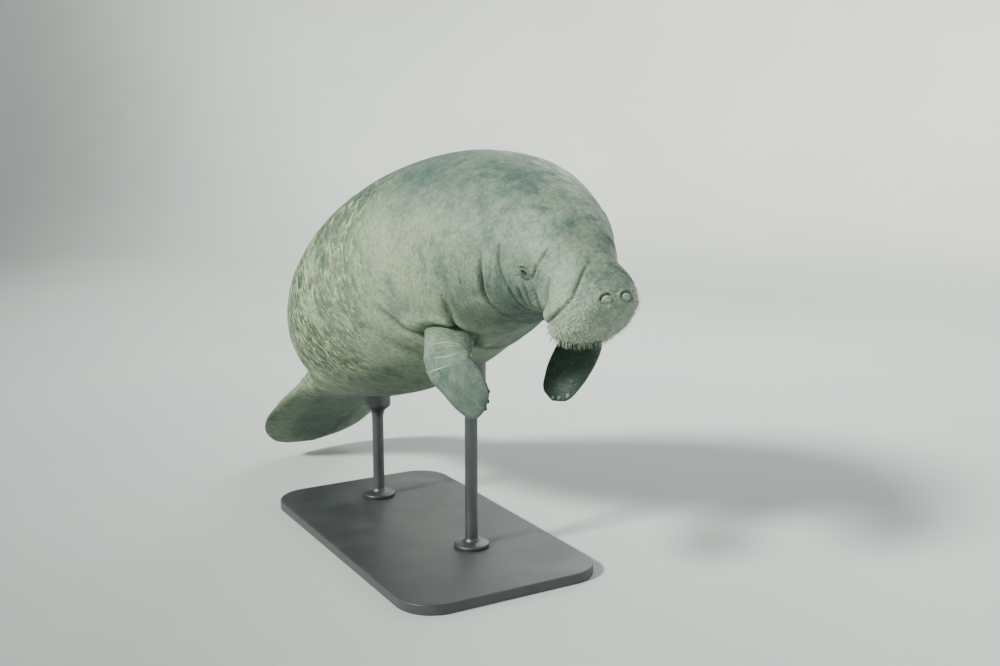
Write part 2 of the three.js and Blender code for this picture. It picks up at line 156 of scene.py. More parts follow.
def table_value(rows, column, x):
    """A smooth curve through the rows of a table: one column at x."""
    x = np.clip(np.asarray(x, float), rows[0, 0], rows[-1, 0])
    xs, ys = rows[:, 0], rows[:, column]
    i = np.clip(np.searchsorted(xs, x) - 1, 0, len(xs) - 2)
    slope = np.empty(len(xs))
    slope[1:-1] = (ys[2:] - ys[:-2]) / (xs[2:] - xs[:-2])
    slope[0] = (ys[1] - ys[0]) / (xs[1] - xs[0])
    slope[-1] = (ys[-1] - ys[-2]) / (xs[-1] - xs[-2])
    step = xs[i + 1] - xs[i]
    t = (x - xs[i]) / step
    t2, t3 = t * t, t * t * t
    return ((2 * t3 - 3 * t2 + 1) * ys[i] + (t3 - 2 * t2 + t) * step * slope[i]
            + (3 * t2 - 2 * t3) * ys[i + 1] + (t3 - t2) * step * slope[i + 1])


def lumps(points, size, seed):
    """Smooth noise from -1 to 1 over points in mm, with lumps of about the given size."""
    p = points / size
    cell = np.floor(p).astype(np.int64)
    f = p - cell
    f = f * f * (3 - 2 * f)
    total = np.zeros(len(p))
    for corner in np.ndindex(2, 2, 2):
        c = cell + np.array(corner)
        h = (c[:, 0] * 73856093) ^ (c[:, 1] * 19349663) ^ (c[:, 2] * 83492791) ^ (seed * 2654435761)
        h = (h ^ (h >> 13)) * 1274126177 & 0x7FFFFFFF
        value = (h ^ (h >> 16)) % 65536 / 32768.0 - 1
        weight = np.ones(len(p))
        for k in range(3):
            weight = weight * (f[:, k] if corner[k] else 1 - f[:, k])
        total += weight * value
    return total


def body_axes(station):
    """Forward, left and up directions of the body at stations."""
    pitch, yaw, roll = (np.radians(table_value(POSE, k, station)) for k in (1, 2, 3))
    forward = np.stack([np.cos(pitch) * np.cos(yaw), np.cos(pitch) * np.sin(yaw), np.sin(pitch)], -1)
    side = np.stack([-np.sin(yaw), np.cos(yaw), np.zeros_like(yaw)], -1)
    over = np.cross(forward, side)
    left = side * np.cos(roll)[..., None] + over * np.sin(roll)[..., None]
    return forward, left, np.cross(forward, left)


AXIS_STEP = 5.0
AXIS_STATIONS = np.arange(0, BODY_LENGTH + 1, AXIS_STEP)
AXIS = np.vstack([NOSE_TIP, NOSE_TIP - np.cumsum(
    body_axes(AXIS_STATIONS[1:] - AXIS_STEP / 2)[0] * AXIS_STEP, axis=0)])


def axis_point(station):
    return np.stack([np.interp(station, AXIS_STATIONS, AXIS[:, k]) for k in range(3)], -1)


def from_crown(angle):
    turned = np.mod(angle - 90, 360)
    return np.minimum(turned, 360 - turned)


def mouth_distance(station, angle):
    """Distance behind the line of the mouth in mm, so it is positive on the lower jaw."""
    off = np.abs(np.mod(angle - 90, 360) - 180)
    share = off / MOUTH["half_angle"]
    run = MOUTH["corner"] - MOUTH["front"]
    line = MOUTH["front"] + run * share ** MOUTH["power"]
    slope = run * MOUTH["power"] / MOUTH["half_angle"] * share ** (MOUTH["power"] - 1)
    mm_per_degree = 2.0
    return (station - line) / np.sqrt(1 + (slope / mm_per_degree) ** 2), off


def base_point(station, angle):
    """The plain form of the body, before its folds."""
    _, left, up = body_axes(station)
    width, above, below = (np.maximum(table_value(SECTIONS, k, station), 0) for k in (1, 2, 3))
    power = np.interp(station, *SQUARENESS)
    c, s = np.cos(np.radians(angle)), np.sin(np.radians(angle))
    across = np.sign(c) * np.abs(c) ** power
    high = np.sign(s) * np.abs(s) ** power
    behind, off = mouth_distance(station, angle)
    tuck = JAW["tuck"] * fall(station, *JAW["along"]) * fall(off, *JAW["side"])
    tuck = tuck * ramp(behind, *JAW["lip"])
    swell = (LOBE["swell"] * bump(station - LOBE["station"], LOBE["along"])
             * bump(from_crown(angle) - LOBE["crown"], LOBE["round"]))
    extent = np.where(s > 0, above, below - tuck)
    tapered = np.where(np.minimum(width, extent) > 0, swell, 0)
    return (axis_point(station) + left * ((width + tapered) * across)[..., None]
            + up * ((extent + tapered) * high)[..., None])


def base_normal(station, angle):
    half_step, half_turn = 3.0, 1.5
    low = np.clip(station - half_step, 0.4, BODY_LENGTH - 0.8)
    high = np.clip(station + half_step, 0.8, BODY_LENGTH - 0.4)
    along = base_point(high, angle) - base_point(low, angle)
    round_ = base_point(station, angle + half_turn) - base_point(station, angle - half_turn)
    normal = np.cross(along, round_)
    return normal / np.maximum(np.linalg.norm(normal, axis=-1, keepdims=True), 1e-9)


def hide_frame(station, angle):
    """Place, ahead, across and outward directions on the plain form at one spot."""
    s, a = np.array([float(station)]), np.array([float(angle)])
    out = base_normal(s, a)[0]
    forward = body_axes(s)[0][0]
    ahead = unit(forward - out * forward.dot(out))
    return base_point(s, a)[0], ahead, np.cross(out, ahead), out


def eye_places():
    return [hide_frame(EYE["station"], angle)[0] for angle in EYE_ANGLES]


def nostril_places():
    return [hide_frame(NOSTRIL["station"], angle)[0] for angle in NOSTRIL_ANGLES]


def root_place(side):
    return hide_frame(side["station"], side["angle"])[0]


def nearest(points, places):
    return np.min([distance_from(points, place) for place in places], axis=0)


# Lesser folds: name, points as (degrees from crown, station), depth and width in mm
LINES = (
    ("before the eye", [(36, 222), (50, 216), (62, 214), (76, 215), (84, 217)], 5.6, 2.8),
    ("behind the eye",
     [(60, 346), (78, 331), (104, 305), (121, 299), (140, 315), (152, 340)], 8.0, 5.5),
    ("under the eye", [(93, 242), (104, 232), (116, 229), (132, 236), (148, 248)], 7.4, 3.8),
    ("cheek", [(92, 214), (100, 201), (110, 193), (124, 192), (142, 204)], 6.0, 4.6),
    ("under the eye, rear", [(98, 264), (112, 258), (128, 262), (148, 282)], 6.6, 4.0),
    ("cheek, front", [(68, 170), (86, 159), (104, 156), (122, 168), (138, 184)], 4.8, 4.4),
    ("throat", [(128, 350), (145, 362), (162, 395), (178, 420)], 4.5, 7.0),
    ("chest", [(106, 590), (119, 625), (134, 680), (148, 735), (160, 780), (172, 806)], 12.0, 12.0),
    ("shoulder", [(70, 560), (92, 548), (112, 560), (128, 590)], 4.0, 12.0),
    ("behind the flipper", [(98, 902), (106, 888), (114, 868), (122, 842), (130, 815)], 9.0, 13.0),
    ("flank", [(112, 985), (126, 962), (142, 950), (158, 960)], 5.0, 20.0),
)


def fold_profile(off, depth, width):
    """A sharp furrow with a soft roll of hide before and behind it."""
    furrow = -depth * np.exp(-np.abs(off / width) ** 1.5)
    rolls = bump(off - 2.6 * width, 1.9 * width) + bump(off + 2.6 * width, 1.9 * width)
    return furrow + 0.42 * depth * rolls


def local_distance(station, angle, path):
    """Distance along the body from a fold's path, scaled to run square to it, and its end fades."""
    rows = np.array(path, float)
    crown = from_crown(angle)
    line, after, before = (table_value(rows, 1, crown + degrees) for degrees in (0, 1, -1))
    mm_per_degree = np.maximum(table_value(SECTIONS, 1, station), 60) * math.pi / 180
    off = (station - line) / np.sqrt(1 + ((after - before) / 2 / mm_per_degree) ** 2)
    first, last = rows[0, 0], rows[-1, 0]
    fade = ramp(crown, first - FOLD_END * 0.3, first + FOLD_END)
    if last <= 170:
        fade = fade * fall(crown, last - FOLD_END, last + FOLD_END * 0.3)
    return off, fade


# Rings round an eye: height, radius, width, side (1 above, -1 below), where it starts and is full
EYE_RINGS = (
    (-2.6, 15.2, 2.0, 1, 0.05, 0.6),
    (2.6, 21.5, 4.5, 1, 0.0, 0.7),
    (2.8, 15.5, 4.2, -1, 0.0, 0.6),
    (-2.0, 22.5, 2.6, -1, 0.1, 0.7),
)


def eye_relief(points):
    """Lids round each eye: a dip in the face, a heavy upper lid, a pouch below and wrinkles."""
    total = np.zeros(len(points))
    for angle, upward in zip(EYE_ANGLES, (1, -1)):
        place, ahead, across, _ = hide_frame(EYE["station"], angle)
        x, y = (points - place) @ ahead, (points - place) @ across * upward
        r = np.hypot(x / 1.32, y / 0.92)
        high = y / np.maximum(np.hypot(x, y), 1)
        turn = np.arctan2(y, x)
        form = -EYE["dip"] * bump(r, EYE["dip_size"]) - 13 * fall(r, 5.6, 7.2)
        form += (3.0 + 1.1 * ramp(high, 0, 0.8)) * bump(r - 9.6, 3.4) * (r > 5.5)
        for height, ring, width, side, low, full in EYE_RINGS:
            form += height * bump(r - ring, width) * ramp(side * high, low, full)
        rays = np.cos(13 * turn + 1.7 * np.sin(2 * turn)) + 0.6 * np.cos(23 * turn + 1)
        wrinkles = bump(r - 22, 9 + 8 * ramp(-high, 0.2, 0.9)) + 0.4 * bump(r - 10, 3)
        form += rays * (0.45 + 0.55 * ramp(-high, -0.2, 0.6)) * wrinkles * (r > 6)
        total += np.where(distance_from(points, place) < 110, form, 0)
    return total


def nostril_relief(points):
    """A shut nostril: a swollen valve with a crescent slit over it and a hollow under it."""
    total = np.zeros(len(points))
    for angle in NOSTRIL_ANGLES:
        place, ahead, across, _ = hide_frame(NOSTRIL["station"], angle)
        x, y = (points - place) @ ahead, (points - place) @ across
        r = np.hypot(x * 1.16, y * 0.80)
        back = ramp(-x / np.maximum(r, 1), -0.35, 0.55)
        valve = (3.4 + 2.2 * back) * np.exp(-(r / 11.0) ** 4)
        slit = -9.5 * bump(r - NOSTRIL["ring"] + 1.0, 2.1) * back
        rim = 3.4 * bump(r - 21, 5) * back
        hollow = -3.4 * bump(r - 16, 6) * (1 - back)
        total += np.where(distance_from(points, place) < 70, valve + slit + rim + hollow, 0)
    return total


def root_share(side, points):
    """How far out from a flipper's middle line points lie, where 1 is the flipper's own surface."""
    down, chord, thick = (v[0] for v in flipper_directions(side, np.zeros(1)))
    away = points - root_place(side)
    half_chord, half_thick = FLIPPER[1, 1:] * side["size"]
    out = np.hypot(away @ chord / half_chord, away @ thick / half_thick)
    return np.where(np.abs(away @ down) < 140, out, 9.0)


def collar_relief(points):
    """The loose hide that folds over the root of each flipper."""
    total = np.zeros(len(points))
    for side in SIDES.values():
        out = root_share(side, points)
        total += 9.0 * bump(out - 1.62, 0.42) - 5.0 * bump(out - 1.08, 0.14)
    return total


def rings(station, points, length, wander, size, seed):
    """Waves along the body of one length, their crests bent by noise."""
    return np.sin((station + wander * lumps(points, size, seed)) * 2 * math.pi / length)


# Slack of the hide: where it starts, is full, wanes and ends, then height, size and seed of lumps
SLACK = (
    ((260, 520, 2300, 2600), ((3.2, 190, 21), (1.6, 75, 22))),
    ((110, 190, 500, 800), ((0.9, 26, 23), (0.45, 11, 26))),
    ((1, 12, 90, 150), ((1.5, 17, 24), (1.1, 8, 25))),
)


def relief(station, angle, points):
    """Height of the real hide over the plain form, in mm."""
    crown = from_crown(angle)
    warp = lumps(points, 70, 3) * 3.0 + lumps(points, 24, 4) * 1.1
    st = station + warp * ramp(station, 60, 130)
    # The crease behind the muzzle, the fold of the cheek and the lesser folds
    crease, _ = local_distance(st, angle, MUZZLE_CREASE)
    low_share = ramp(crown, 78, 118)
    creased = fold_profile(crease, 6.8, 4.0) + (4.5 + 4.0 * low_share) * bump(crease - 24, 16)
    height = creased * ramp(crown, -14, 20) * (0.76 + 0.75 * low_share)
    cheek, _ = local_distance(st, angle, CHEEK_FOLD)
    height += (fold_profile(cheek, 12, 7.0) + 8.0 * bump(cheek + 36, 28)) * ramp(crown, 66, 100)
    for _, path, depth, width in LINES:
        off, fade = local_distance(st, angle, path)
        height += fold_profile(off, depth, width) * fade
    # Lips, and the cleft in the muzzle
    behind, off_centre = mouth_distance(station, angle)
    lips = -3.5 * bump(behind - 1, 3.0) + 3.6 * bump(behind + 11, 8)
    height += lips * fall(off_centre, 52, 66)
    lateral = np.abs(np.cos(np.radians(angle))) * table_value(SECTIONS, 1, station)
    height -= 1.8 * bump(lateral, 8.5) * span(station, 0, 4, 50, 80)
    # Rings of soft wrinkles: on top of the muzzle, over the neck and on the tail's root
    bridge = span(station, 118, 150, 200, 240) * fall(crown, 26, 64)
    bridge *= ramp(lumps(points, 40, 8), -0.6, 0.4)
    height += np.sin(st * 2 * math.pi / 19 + 2.2 * lumps(points, 34, 9)) * bridge
    neck = span(station, 330, 460, 760, 1000) * ramp(lumps(points, 150, 12), -0.5, 0.6)
    height += 1.9 * rings(st, points, 41, 9, 90, 11) * neck
    tail_root = span(station, 1960, 2060, 2230, 2330)
    height += 2.2 * rings(st, points, 52, 10, 110, 13) * tail_root
    for reach, layers in SLACK:
        height += span(station, *reach) * sum(h * lumps(points, size, seed) for h, size, seed in layers)
    # Low ridges that fan out over the paddle
    ridges = lumps(points * np.array([0.45, 1.0, 0.45]), 34, 31)
    height += 1.5 * ridges * span(station, 2280, 2420, 2690, 2745)
    return height + eye_relief(points) + nostril_relief(points) + collar_relief(points)


def hide_surface(station, angle):
    """Points of the finished hide, in metres, at arrays of stations and angles."""
    plain = base_point(station, angle)
    thin = np.min([table_value(SECTIONS, k, station) for k in (1, 2, 3)], axis=0)
    height = np.clip(relief(station, angle, plain), -DEEPEST * thin, HIGHEST * thin)
    return (plain + base_normal(station, angle) * height[:, None]) * MM


def new_object(name, mesh):
    piece = bpy.data.objects.new(name, mesh)
    bpy.context.scene.collection.objects.link(piece)
    return piece


def mesh_piece(name, points, faces):
    mesh = bpy.data.meshes.new(name)
    mesh.from_pydata([tuple(p) for p in points], [], faces)
    mesh.update()
    return new_object(name, mesh)


def built_piece(name, bm):
    """An object from a finished edit mesh."""
    mesh = bpy.data.meshes.new(name)
    bm.to_mesh(mesh)
    bm.free()
    return new_object(name, mesh)


@contextmanager
def edited(piece):
    """Opens a piece's mesh for editing, and puts it back."""
    bm = bmesh.new()
    bm.from_mesh(piece.data)
    yield bm
    bm.to_mesh(piece.data)
    bm.free()


def tidy_normals(piece):
    with edited(piece) as bm:
        bmesh.ops.recalc_face_normals(bm, faces=bm.faces)


def set_material(piece, material):
    piece.data.materials.clear()
    piece.data.materials.append(material)


def open_tube_faces(rows, columns):
    """Faces of a tube of rows of points, and the pairs of neighbours round it."""
    pairs = [(j, (j + 1) % columns) for j in range(columns)]
    starts = range(0, (rows - 1) * columns, columns)
    return [(i + j, i + columns + j, i + columns + k, i + k) for i in starts for j, k in pairs], pairs


def closed_tube_faces(rows, columns, first_tip, last_tip):
    """Faces of a tube of rows of points, closed by a tip point at each end."""
    faces, pairs = open_tube_faces(rows, columns)
    last = (rows - 1) * columns
    for j, k in pairs:
        faces += [(first_tip, j, k), (last_tip, last + k, last + j)]
    return faces


def smooth_shading(piece):
    piece.data.polygons.foreach_set("use_smooth", np.ones(len(piece.data.polygons), bool))
    piece.data.update()


def body_skin():
    """The body's mesh, made finer round the eyes, nostrils, lips and the folds of the face."""
    stations = np.concatenate([np.arange(*band) for band in ROW_BANDS])
    bm = bmesh.new()
    layers = [bm.verts.layers.float.new(key) for key in ("station", "cos", "sin")]
    spots = [(s, math.cos(a), math.sin(a)) for s in stations for a in turns(COLUMNS)]
    spots += [(s, 0.0, -1.0) for s in (0.0, BODY_LENGTH)]
    verts = [bm.verts.new((0, 0, 0)) for _ in spots]
    for v, spot in zip(verts, spots):
        for layer, value in zip(layers, spot):
            v[layer] = value
    tips = len(stations) * COLUMNS
    for face in closed_tube_faces(len(stations), COLUMNS, tips, tips + 1):
        bm.faces.new([verts[i] for i in face])

    def values():
        s, c, h = (np.array([v[layer] for v in bm.verts]) for layer in layers)
        return s, np.degrees(np.arctan2(h, c))

    for level, (eye_reach, nostril_reach, root_reach) in enumerate(FINER):
        s, a = values()
        plain = base_point(s, a)
        root = np.min([root_share(side, plain) for side in SIDES.values()], axis=0)
        fine = (nearest(plain, eye_places()) < eye_reach) | (root < root_reach)
        fine |= nearest(plain, nostril_places()) < nostril_reach
        if level == 0:
            crease, _ = local_distance(s, a, MUZZLE_CREASE)
            behind, off = mouth_distance(s, a)
            fine |= (np.abs(crease) < 9) & (from_crown(a) > 18) & (s < 170)
            fine |= (np.abs(behind) < 8) & (off < 64) & (s > 10) & (s < 150)
        chosen = set(np.nonzero(fine)[0])
        bm.verts.index_update()
        edges = [e for e in bm.edges if e.verts[0].index in chosen and e.verts[1].index in chosen]
        bmesh.ops.subdivide_edges(bm, edges=edges, cuts=1, use_grid_fill=True)
        bm.verts.ensure_lookup_table()
    s, a = values()
    points = hide_surface(s, a)
    for v, p in zip(bm.verts, points):
        v.co = p
    bmesh.ops.triangulate(bm, faces=[f for f in bm.faces if len(f.verts) > 4])
    bmesh.ops.recalc_face_normals(bm, faces=bm.faces)
    width, above, below = (table_value(SECTIONS, k, s) for k in (1, 2, 3))
    across, high = np.cos(np.radians(a)), np.sin(np.radians(a))
    lie = np.stack([s, width * across, np.where(high > 0, above, below) * high], -1) * MM
    return built_piece("hide", bm), (points, lie, s, a, np.full(len(s), ON_BODY))


def flipper_directions(side, share):
    """Directions down a flipper, along its chord and through its thickness."""
    forward, left, up = (v[0] for v in body_axes(np.array([float(side["station"])])))
    sweep, spread, twist = (np.radians(side[k][0] + (side[k][1] - side[k][0]) * share)[:, None]
                            for k in ("sweep", "spread", "twist"))
    down = (forward * np.sin(sweep) - up * (np.cos(spread) * np.cos(sweep))
            + left * (side["out"] * np.sin(spread) * np.cos(sweep)))
    straight = unit(forward - down * (down @ forward)[:, None])
    chord = straight * np.cos(twist) + np.cross(down, straight) * np.sin(twist)
    return down, chord, np.cross(down, chord)


def bend_share(distance):
    return ramp(distance, BEND_START, BEND_START + BEND_LENGTH)


def flipper_line(side, distance):
    """The middle line of a flipper at distances from the shoulder."""
    step = 10.0
    marks_and_painted_light = np.arange(FLIPPER_ROOT, FLIPPER_TIP + 1, step)
    down, _, _ = flipper_directions(side, bend_share(marks_and_painted_light[:-1] + step / 2))
    first, _, _ = flipper_directions(side, np.zeros(1))
    start = root_place(side) + first[0] * FLIPPER_ROOT * side["size"]
    line = np.vstack([start, start + np.cumsum(down * step * side["size"], axis=0)])
    return np.stack([np.interp(distance, marks_and_painted_light, line[:, k]) for k in range(3)], -1)


def flipper_point(side, distance, across, high, height=0.0):
    _, chord, thick = flipper_directions(side, bend_share(distance))
    half_chord, half_thick = (np.maximum(table_value(FLIPPER, k, distance), 0) * side["size"]
                              for k in (1, 2))
    return (flipper_line(side, distance) + chord * ((half_chord + height) * across)[:, None]
            + thick * ((half_thick + height) * high)[:, None])


# Distance, depth and width of the creases across a flipper
FLIPPER_CREASES = ((30, 3.4, 5), (52, 2.8, 4), (78, 3.8, 3.4), (92, 2.4, 3), (118, 3.4, 3.4),
                   (140, 2.4, 3.2), (168, 1.8, 4))
# Where each flipper lies on the unbent animal that the markings are drawn on, in mm
FLIPPER_PLACE = {"flipper_right_skin": 4000.0, "flipper_left_skin": 6000.0}


def flipper_skin(name, side):
    """A flipper with creases at its root and elbow and the low ridges of its digits."""
    t = np.linspace(0, 1, FLIPPER_ROWS)
    length = FLIPPER_TIP - 0.8 - FLIPPER_ROOT
    d, a = grid(FLIPPER_ROOT + length * (1 - (1 - t) ** 1.2), turns(FLIPPER_COLUMNS))
    across, high = np.cos(a), np.sin(a)
    plain = flipper_point(side, d, across, high)
    wander = d + 7 * lumps(plain, 60, 41) + 2.5 * lumps(plain, 20, 42)
    height = sum(fold_profile(wander - place, depth, width) for place, depth, width in FLIPPER_CREASES)
    height += 1.1 * np.cos(across * 9.5 + 0.5) * span(d, 170, 250, 350, 395)
    height += 1.6 * lumps(plain, 55, 43) + 0.8 * lumps(plain, 22, 44)
    points = flipper_point(side, d, across, high, height * fall(d, 385, 399))
    ends = np.array([FLIPPER_ROOT, FLIPPER_TIP])
    points = np.vstack([points, flipper_line(side, ends)]) * MM
    piece = mesh_piece(name, points, closed_tube_faces(FLIPPER_ROWS, FLIPPER_COLUMNS, len(d), len(d) + 1))
    tidy_normals(piece)
    reach = np.append(d, ends)
    flat = [np.append(across, (0, 0)) * 80, np.append(high, (0, 0)) * 40]
    lie = np.column_stack([FLIPPER_PLACE[name] + reach, *flat]) * MM
    zeros = np.zeros(len(reach))
    return piece, (points, lie, zeros, zeros, reach)


def combine(target, other, operation):
    """Joins or cuts a piece with another closed piece, which is then removed."""
    modifier = target.modifiers.new("combine", "BOOLEAN")
    modifier.object = other
    modifier.operation = operation
    modifier.solver = "MANIFOLD"
    bpy.context.view_layer.objects.active = target
    with bpy.context.temp_override(object=target, active_object=target):
        bpy.ops.object.modifier_apply(modifier="combine")
    bpy.data.objects.remove(other, do_unlink=True)


def tree_of(points):
    tree = kdtree.KDTree(len(points))
    for i, p in enumerate(points):
        tree.insert(p, i)
    tree.balance()
    return tree


# Where a flipper leaves the body: the least bend of a corner in degrees, how far from the root the
# corners and the softened points may lie, how near a corner they lie, and passes of softening
JOIN = {"bend": 24, "corner_reach": 0.16, "soft_reach": 0.2, "near": 0.014, "passes": 9}
CRISP_BEND = 35


def bends(edge, degrees):
    return len(edge.link_faces) == 2 and edge.calc_face_angle(0) > math.radians(degrees)


def soften_joins(piece, roots):
    """Rounds the corner where each flipper leaves the body."""
    def root_distance(place):
        return min((place - root).length for root in roots)

    with edited(piece) as bm:
        middles = [(e.verts[0].co + e.verts[1].co) / 2 for e in bm.edges if bends(e, JOIN["bend"])]
        tree = tree_of([middle for middle in middles if root_distance(middle) < JOIN["corner_reach"]])
        near = [v for v in bm.verts if root_distance(v.co) < JOIN["soft_reach"]
                and tree.find(v.co)[2] < JOIN["near"]]
        axes = {"use_axis_x": True, "use_axis_y": True, "use_axis_z": True}
        for _ in range(JOIN["passes"]):
            bmesh.ops.smooth_vert(bm, verts=near, factor=0.5, **axes)


def paint_marks_and_light(piece, parts):
    """Stores on each point where it lies on the animal, and how strong each marking, the painted shade and
    the painted highlights are there.
    """
    points, *known = (np.concatenate([part[k] for part in parts]) for k in range(5))
    tree = tree_of(points)
    found = [tree.find(v.co)[1] for v in piece.data.vertices]
    lie, station, angle, reach = (values[found] for values in known)
    mm = np.array([v.co for v in piece.data.vertices]) / MM
    on_body = reach == ON_BODY
    crown = from_crown(angle)
    drift = 130 * lumps(mm, 260, 51) + 80 * lumps(mm, 95, 52)
    algae = ramp(station + drift, 830, 1180) * (1 - 0.6 * ramp(station, 2080, 2300)) * on_body
    algae *= (1 - 0.8 * ramp(crown, 118, 158)) * (0.65 + 0.35 * ramp(crown, 8, 50))
    # Painted shade round the eyes, on the tail, under the animal, in its folds, round the flippers' roots and
    # over the flippers
    eyes = nearest(mm, eye_places())
    painted_shade = 0.60 * fall(eyes, 10, 32) + 0.22 * fall(eyes, 30, 90)
    painted_shade += 0.62 * ramp(station, 2130, 2380) + 0.50 * ramp(crown, 122, 170)
    for path, strength, width, low, high in ((MUZZLE_CREASE, 0.80, 3.6, 2, 34),
                                             (CHEEK_FOLD, 0.7, 7.5, 66, 100)):
        off, _ = local_distance(station, angle, path)
        painted_shade += strength * bump(off, width) * ramp(crown, low, high)
    for _, path, depth, width in LINES:
        off, fade = local_distance(station, angle, path)
        painted_shade += 0.085 * depth * bump(off, width) * fade
    painted_shade += 0.25 * ramp(crown, 112, 150) * span(station, 150, 230, 480, 640)
    for side in SIDES.values():
        painted_shade += 0.5 * bump(root_share(side, mm) - 1.1, 0.2)
    # Painted shade on the flippers: over the whole left flipper, which lies under the body, and growing
    # towards each tip
    left_shade = np.where(mm[:, 1] > 0, 0.62, 0.0)
    painted_shade = np.where(on_body, painted_shade, 0.06 + left_shade + 0.76 * ramp(reach, 130, 310))
    # Paler rims of the lips and the lids, a painted highlight over each nostril's valve, and painted shadow
    # in a ring round it
    behind, off_centre = mouth_distance(station, angle)
    front = on_body & (station < 175)
    rim = bump(behind + 18, 22) * fall(off_centre, 60, 90) * front + 0.22 * bump(eyes - 13, 4)
    for place in nostril_places():
        away = distance_from(mm, place)
        # A painted highlight on the valve, and painted shadow in the ring round it
        rim += 0.9 * bump(away, 13)
        painted_shade += 0.40 * bump(away - 17, 4)
    values = np.clip(np.stack([algae, painted_shade, rim, fall(station, 92, 128) * front], -1), 0, 1)
    place_on = piece.data.attributes.new("lie", "FLOAT_VECTOR", "POINT")
    place_on.data.foreach_set("vector", lie.astype(np.float32).ravel())
    marks_and_painted_light = piece.data.color_attributes.new("marks_and_painted_light", "FLOAT_COLOR", "POINT")
    marks_and_painted_light.data.foreach_set("color", values.astype(np.float32).ravel())


# Materials
class Nodes:
    """Wires one material, its colour built up in coats and its relief in layers."""

    def __init__(self, name):
        self.material = bpy.data.materials.new(name)
        self.material.use_nodes = True
        self.tree = self.material.node_tree
        self.shader = self.tree.nodes["Principled BSDF"]
        self.base = None
        self.normal = None

    def feed(self, socket, value):
        if isinstance(value, bpy.types.NodeSocket):
            self.tree.links.new(value, socket)
        else:
            socket.default_value = value

    def add(self, kind, inputs=None, **settings):
        node = self.tree.nodes.new(kind)
        for key, value in settings.items():
            setattr(node, key, value)
        for key, value in (inputs or {}).items():
            self.feed(node.inputs[key], value)
        return node

    def place(self):
        return self.add("ShaderNodeTexCoord").outputs["Object"]

    def vector(self, operation, a, b=None):
        inputs = {0: a} if b is None else {0: a, 1: tuple(b)}
        node = self.add("ShaderNodeVectorMath", inputs, operation=operation)
        return node.outputs["Value" if operation in ("LENGTH", "DOT_PRODUCT") else "Vector"]

    def noise(self, vector, scale, detail=3, rough=0.55, distortion=0.0):
        return self.add("ShaderNodeTexNoise", {
            "Vector": vector, "Scale": scale, "Detail": detail, "Roughness": rough,
            "Distortion": distortion}).outputs["Fac"]

    def cells(self, vector, scale, feature="DISTANCE_TO_EDGE"):
        inputs = {"Vector": vector, "Scale": scale}
        return self.add("ShaderNodeTexVoronoi", inputs, feature=feature).outputs["Distance"]

    def math(self, operation, a, b=0.0, clamp=False):
        return self.add("ShaderNodeMath", {0: a, 1: b}, operation=operation, use_clamp=clamp).outputs[0]

    def times(self, product, *others):
        for other in others:
            product = self.math("MULTIPLY", product, other)
        return product

    def remap(self, value, low, high, to_low=0.0, to_high=1.0):
        inputs = {"Value": value, "From Min": low, "From Max": high, "To Min": to_low, "To Max": to_high}
        return self.add("ShaderNodeMapRange", inputs, interpolation_type="SMOOTHSTEP").outputs["Result"]

    def fall(self, value, low, high):
        return self.remap(value, low, high, 1.0, 0.0)

    def mix(self, share, a, b):
        inputs = {"Factor": share, "A": a, "B": b}
        return self.add("ShaderNodeMix", inputs, data_type="RGBA").outputs["Result"]

    def coat(self, tint, *shares):
        """Lays a colour over the base where the product of the shares lets it."""
        self.base = self.mix(self.times(*shares), self.base, colour(*tint))

    def layer(self, height, distance):
        """Lays relief of one depth in metres over what is there."""
        inputs = {"Distance": distance, "Strength": 1.0, "Height": height}
        if self.normal is not None:
            inputs["Normal"] = self.normal
        self.normal = self.add("ShaderNodeBump", inputs).outputs["Normal"]

    def finish(self, roughness):
        self.feed(self.shader.inputs["Base Color"], self.base)
        self.feed(self.shader.inputs["Roughness"], roughness)
        if self.normal is not None:
            self.feed(self.shader.inputs["Normal"], self.normal)
        return self.material


def colour(r, g, b):
    return (r, g, b, 1.0)


# Pale scars: the middle of the arc's circle on the unbent animal, its radius, the way from there
# to the arc, half its length and half its width, all in metres
SCARS = (
    ((1.080, -0.330, -0.115), 0.057, (0, 0, 1), 0.036, 0.0022),
    ((0.500, -0.225, -0.215), 0.110, (-0.4, 0, 1), 0.020, 0.0016),
    ((0.545, -0.235, -0.135), 0.050, (-1, 0, -0.2), 0.022, 0.0013),
    ((1.240, -0.390, 0.060), 0.080, (1, 0, 0.3), 0.030, 0.0018),
    ((0.700, -0.330, 0.020), 0.140, (-1, 0, 0.6), 0.040, 0.0014),
    ((1.020, 0.340, 0.150), 0.090, (0.4, 0, 1), 0.048, 0.0022),
    ((1.460, 0.200, 0.300), 0.070, (-1, 0.5, 0), 0.040, 0.0024),
    ((4.380, 0.00, 0.0), 0.300, (-1, 0, 0), 0.060, 0.0019),
    ((4.394, 0.02, 0.0), 0.300, (-1, 0, 0), 0.052, 0.0014),
    ((4.440, -0.10, 0.0), 0.320, (-1, 0.35, 0), 0.060, 0.0011),
    ((4.470, -0.14, 0.0), 0.330, (-1, 0.40, 0), 0.060, 0.0010),
)


def add_scars(n, lie):
    for place, radius, toward, half_length, half_width in SCARS:
        away = n.vector("SUBTRACT", lie, place)
        along = n.vector("DOT_PRODUCT", away, Vector(toward).normalized())
        edge = math.sqrt(max(radius ** 2 - half_length ** 2, 0))
        ring = n.math("ABSOLUTE", n.math("SUBTRACT", n.vector("LENGTH", away), radius))
        line = n.fall(ring, half_width * 0.4, half_width * 1.5)
        inside = n.remap(along, edge, edge + (radius - edge) * 0.4)
        n.coat((0.54, 0.66, 0.46), line, inside, 0.8)


